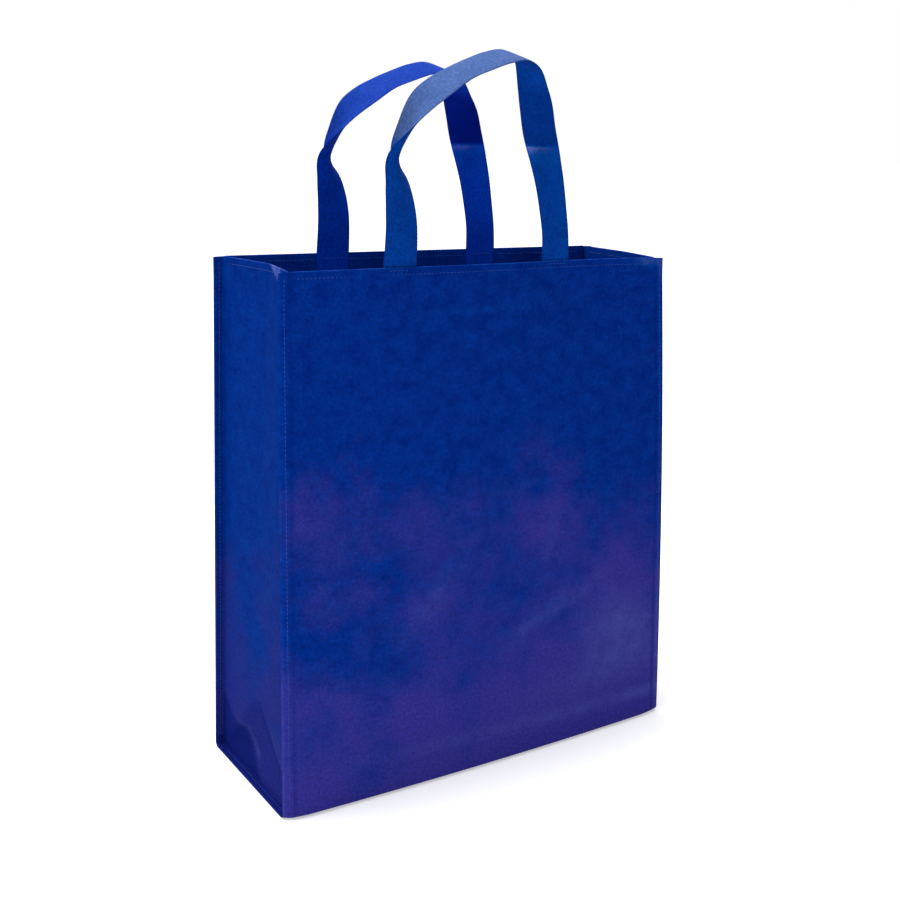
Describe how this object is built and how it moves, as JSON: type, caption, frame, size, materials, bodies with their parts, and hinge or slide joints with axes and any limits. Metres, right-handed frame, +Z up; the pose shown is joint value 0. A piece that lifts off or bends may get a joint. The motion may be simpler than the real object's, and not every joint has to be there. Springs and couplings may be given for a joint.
{
  "type": "non-woven shopping bag",
  "caption": "Open rectangular non-woven fabric shopping bag with side gussets, outside seams, deep hems and flat tape handles.",
  "frame": {"origin": "middle of the bag's footprint on the surface it stands on", "axes": "+X along the bag's width to the right as seen from the front, +Y from the front panel to the back panel, +Z up"},
  "size_m": [0.3632, 0.1731, 0.5514],
  "materials": {
    "bag_fabric": "matte embossed non-woven fabric, royal blue",
    "handle_tape": "matte folded and stitched non-woven tape, royal blue"
  },
  "bodies": {
    "root": {"body_panel": "bag_fabric", "left_gusset": "bag_fabric", "right_gusset": "bag_fabric", "front_handle": "handle_tape", "back_handle": "handle_tape"}
  },
  "joints": []
}
